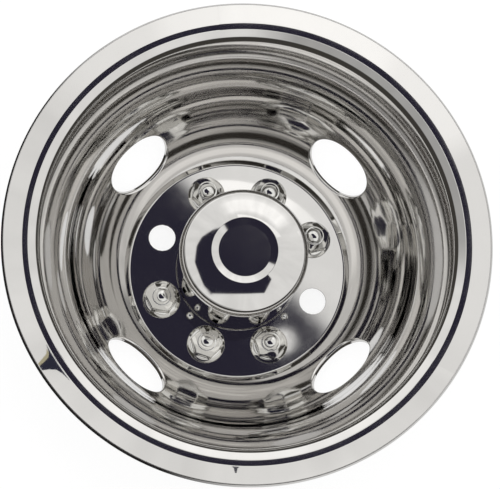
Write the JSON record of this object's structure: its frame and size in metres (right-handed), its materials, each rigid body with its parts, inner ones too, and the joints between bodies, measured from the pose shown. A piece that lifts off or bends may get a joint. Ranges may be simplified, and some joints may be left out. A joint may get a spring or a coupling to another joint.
{
  "type": "truck wheel simulator",
  "caption": "Deep dished polished steel cover for a dual truck wheel, with hand holes, a drawn hub cap and false lug nut covers.",
  "frame": {"origin": "on the wheel's axis, level with the undersides of the six retaining screws' heads that it lies on", "axes": "+Z along the wheel's axis from the back out through the dish's mouth; X and Y through the four hand holes"},
  "size_m": [0.441, 0.4408, 0.1754],
  "materials": {
    "polished_steel": "mirror polished stainless sheet",
    "plated_cover": "bright plated pressing",
    "rivet_steel": "plain stainless rivet",
    "zinc_steel": "zinc plated fastener"
  },
  "bodies": {
    "root": {"wheel_liner": "polished_steel", "hub_cap": "polished_steel", "cap_rivet_1": "rivet_steel", "cap_rivet_2": "rivet_steel", "cap_rivet_3": "rivet_steel", "cap_rivet_4": "rivet_steel", "nut_cover_1": "plated_cover", "nut_cover_2": "plated_cover", "nut_cover_3": "plated_cover", "nut_cover_4": "plated_cover", "nut_cover_5": "plated_cover", "nut_cover_6": "plated_cover", "cover_washer_1": "zinc_steel", "cover_washer_2": "zinc_steel", "cover_washer_3": "zinc_steel", "cover_washer_4": "zinc_steel", "cover_washer_5": "zinc_steel", "cover_washer_6": "zinc_steel", "cover_screw_1": "zinc_steel", "cover_screw_2": "zinc_steel", "cover_screw_3": "zinc_steel", "cover_screw_4": "zinc_steel", "cover_screw_5": "zinc_steel", "cover_screw_6": "zinc_steel"}
  },
  "joints": []
}
